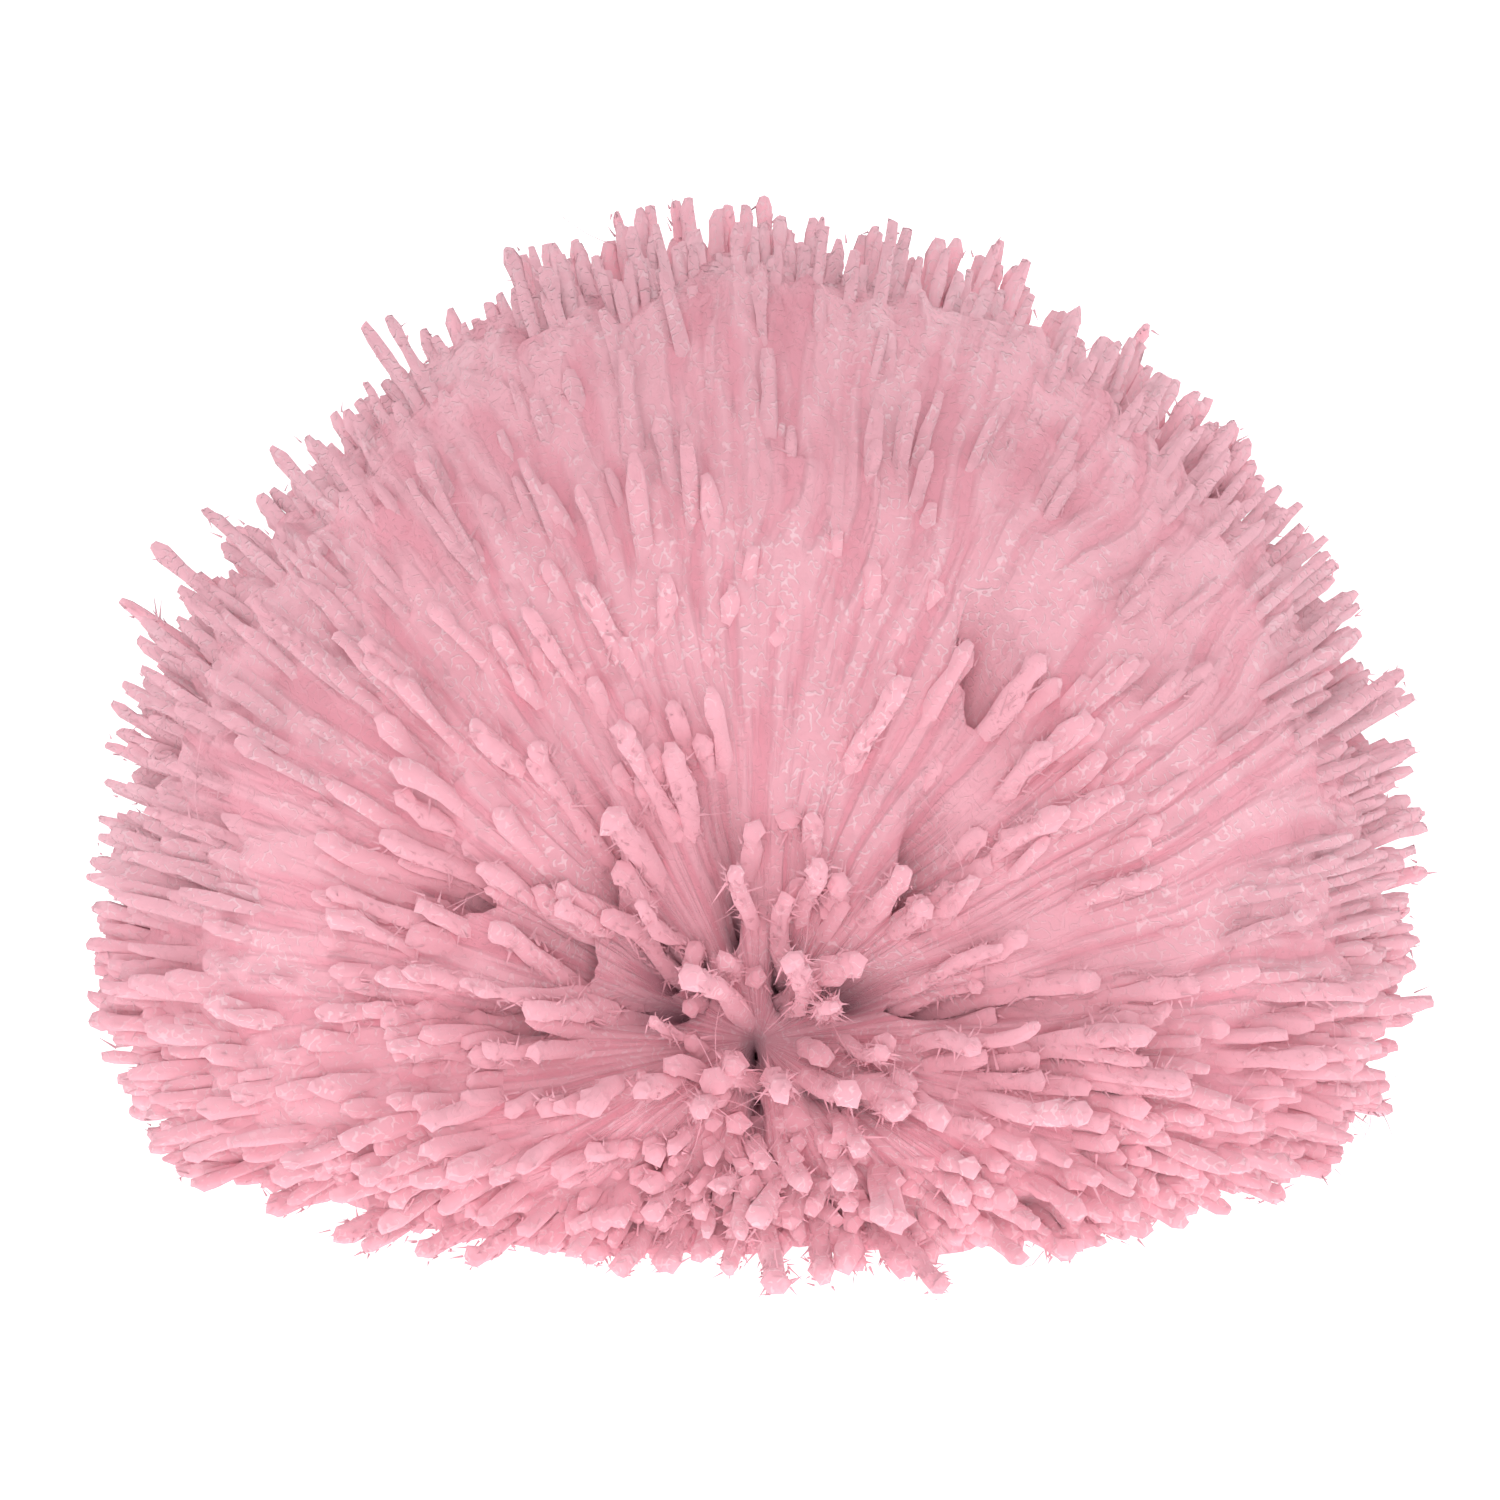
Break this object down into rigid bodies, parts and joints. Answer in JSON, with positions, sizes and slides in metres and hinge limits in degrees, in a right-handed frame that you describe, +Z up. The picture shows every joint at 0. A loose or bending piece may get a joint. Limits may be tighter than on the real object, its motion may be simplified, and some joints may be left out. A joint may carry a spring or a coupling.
{
  "type": "yarn pom pom",
  "caption": "Soft round pom pom of cut yarn tied through the middle, slumped to a level underside where it rests on a table.",
  "frame": {"origin": "on the table, under the middle of the outline", "axes": "+Z up, -Y towards the viewer, +X to the viewer's right"},
  "size_m": [0.1206, 0.1114, 0.0849],
  "materials": {
    "yarn": "matte, fuzzy spun yarn in light pink"
  },
  "bodies": {
    "root": {"pompom": "yarn"}
  },
  "joints": []
}
